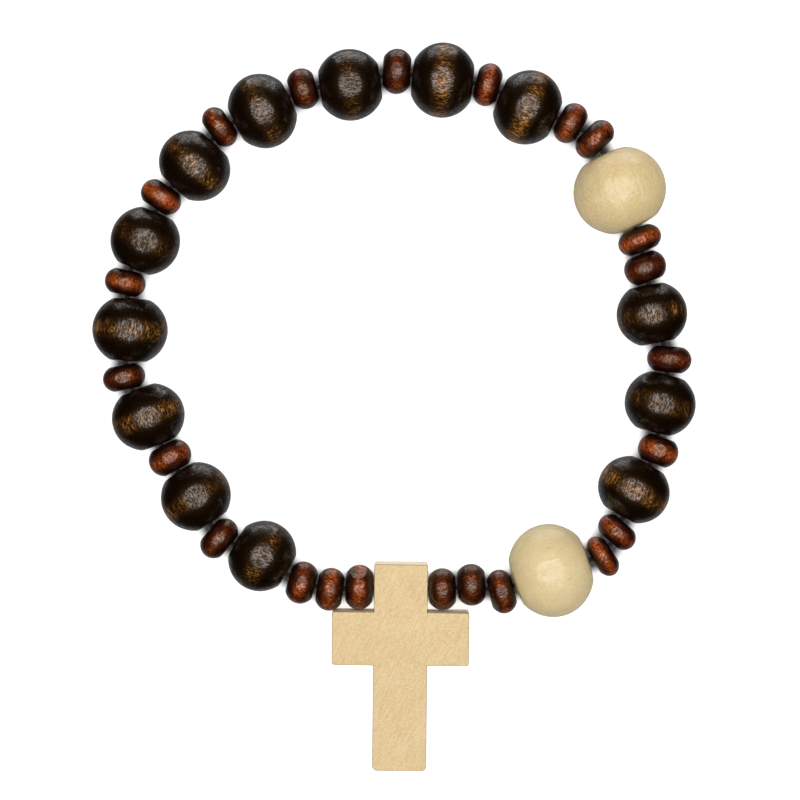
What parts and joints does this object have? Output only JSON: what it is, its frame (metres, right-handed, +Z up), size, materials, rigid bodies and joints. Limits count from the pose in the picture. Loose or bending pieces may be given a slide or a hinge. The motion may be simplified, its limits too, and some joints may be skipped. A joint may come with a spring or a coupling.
{
  "type": "beaded stretch bracelet with cross",
  "caption": "Round stretch bracelet of dark, natural and red-brown wooden beads on an elastic cord, with a flat pale wooden cross strung in, lying flat.",
  "frame": {"origin": "middle of the loop of beads, on the surface that the bracelet lies on", "axes": "+Z up from that surface, +Y from the cross through the middle to the far side of the loop, +X to the right seen from above"},
  "size_m": [0.0643, 0.0777, 0.01],
  "materials": {
    "dark_wood": "dark brown stained wood under gloss lacquer",
    "red_brown_wood": "red-brown stained wood under gloss lacquer",
    "natural_wood": "pale natural wood under satin lacquer",
    "cross_wood": "pale natural wood, sanded and left bare",
    "elastic": "smooth dark elastic"
  },
  "bodies": {
    "root": {"cross": "cross_wood", "dark_bead_01": "dark_wood", "dark_bead_02": "dark_wood", "dark_bead_03": "dark_wood", "dark_bead_04": "dark_wood", "dark_bead_05": "dark_wood", "dark_bead_06": "dark_wood", "dark_bead_07": "dark_wood", "dark_bead_08": "dark_wood", "dark_bead_09": "dark_wood", "dark_bead_10": "dark_wood", "dark_bead_11": "dark_wood", "dark_bead_12": "dark_wood", "dark_bead_13": "dark_wood", "elastic_cord": "elastic", "natural_bead_01": "natural_wood", "natural_bead_02": "natural_wood", "spacer_bead_01": "red_brown_wood", "spacer_bead_02": "red_brown_wood", "spacer_bead_03": "red_brown_wood", "spacer_bead_04": "red_brown_wood", "spacer_bead_05": "red_brown_wood", "spacer_bead_06": "red_brown_wood", "spacer_bead_07": "red_brown_wood", "spacer_bead_08": "red_brown_wood", "spacer_bead_09": "red_brown_wood", "spacer_bead_10": "red_brown_wood", "spacer_bead_11": "red_brown_wood", "spacer_bead_12": "red_brown_wood", "spacer_bead_13": "red_brown_wood", "spacer_bead_14": "red_brown_wood", "spacer_bead_15": "red_brown_wood", "spacer_bead_16": "red_brown_wood", "spacer_bead_17": "red_brown_wood", "spacer_bead_18": "red_brown_wood", "spacer_bead_19": "red_brown_wood", "spacer_bead_20": "red_brown_wood", "spacer_bead_21": "red_brown_wood", "spacer_bead_22": "red_brown_wood", "spacer_bead_23": "red_brown_wood"}
  },
  "joints": []
}
